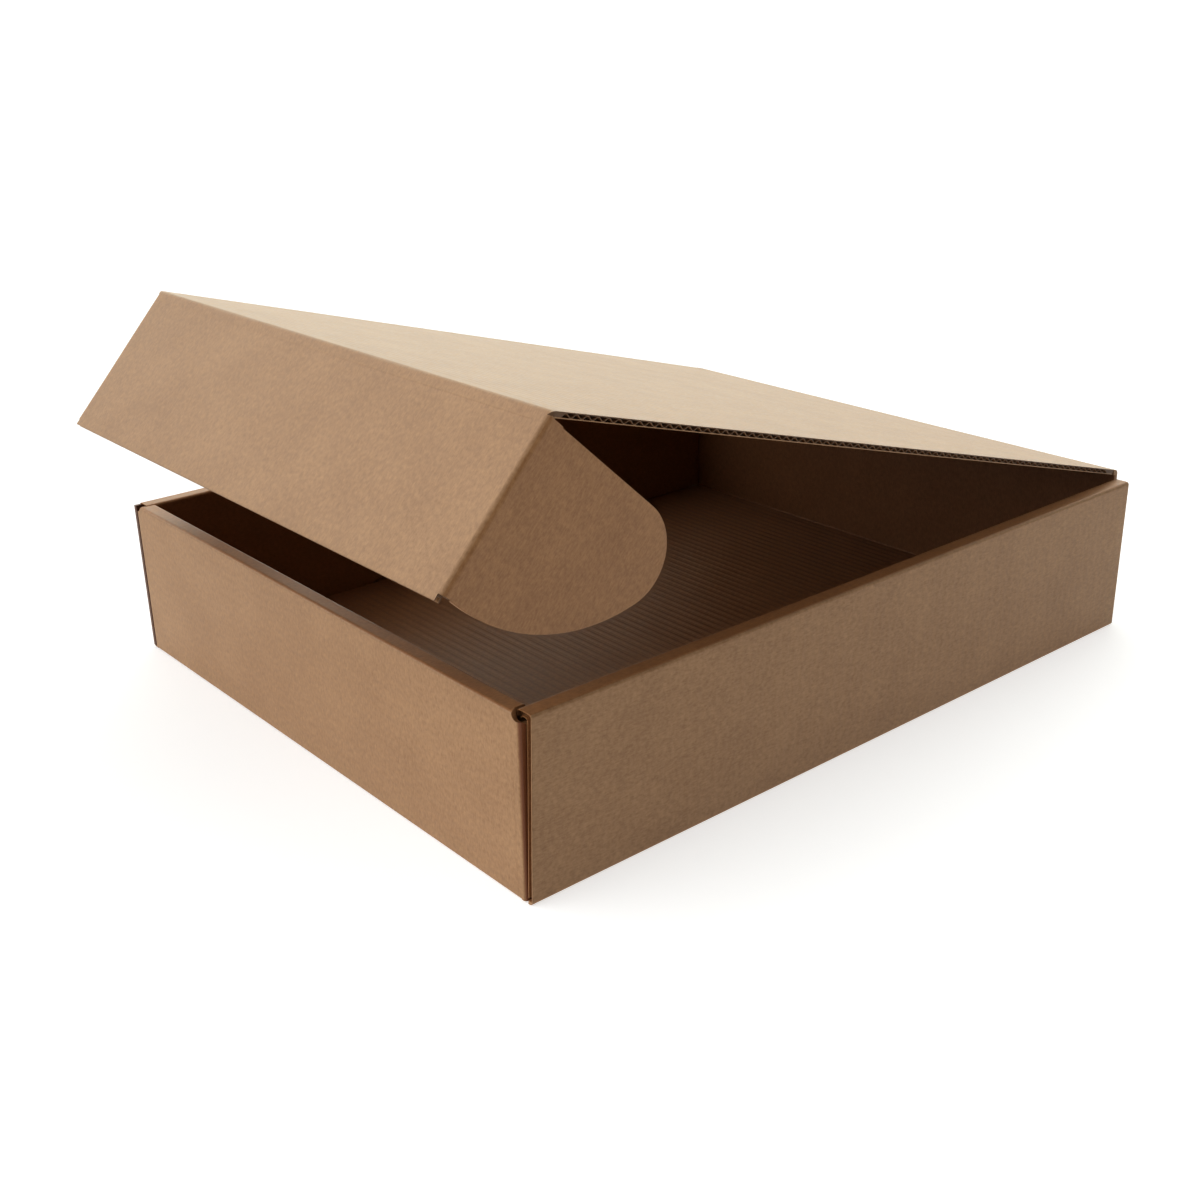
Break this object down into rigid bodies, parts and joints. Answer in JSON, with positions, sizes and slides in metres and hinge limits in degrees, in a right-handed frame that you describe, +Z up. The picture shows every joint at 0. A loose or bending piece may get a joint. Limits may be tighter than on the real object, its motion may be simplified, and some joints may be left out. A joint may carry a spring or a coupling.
{
  "type": "mailer box",
  "caption": "Folded corrugated mailer box standing ajar: a tray with rolled side and front walls, a lid hinged on the back wall, a tuck flap and round ears.",
  "frame": {"origin": "middle of the tray's underside, on the plane it stands on", "axes": "+Z up, +Y from the front wall to the back wall with the lid's hinge, +X to the right seen from the front"},
  "size_m": [0.2112, 0.2743, 0.1204],
  "materials": {
    "kraft_board": "matte"
  },
  "bodies": {
    "tray": {"tray": "kraft_board"},
    "lid": {"lid": "kraft_board"},
    "flap": {"flap": "kraft_board"},
    "ear_left": {"ear_left": "kraft_board"},
    "ear_right": {"ear_right": "kraft_board"}
  },
  "joints": [
    {"name": "lid_hinge", "type": "hinge", "parent": "tray", "child": "lid", "pos_m": [0, 0.1269, 0.0526], "axis": [-1, 0, 0], "range_deg": [-3, 134]},
    {"name": "flap_fold", "type": "hinge", "parent": "lid", "child": "flap", "pos_m": [0, -0.11169, 0.11877], "axis": [1, 0, 0], "range_deg": [-63, 27]},
    {"name": "ear_left_fold", "type": "hinge", "parent": "flap", "child": "ear_left", "pos_m": [-0.098, -0.11169, 0.11877], "axis": [0, -0.6756, -0.7373], "range_deg": [-90, 60]},
    {"name": "ear_right_fold", "type": "hinge", "parent": "flap", "child": "ear_right", "pos_m": [0.098, -0.11169, 0.11877], "axis": [0, 0.6756, 0.7373], "range_deg": [-90, 60]}
  ]
}
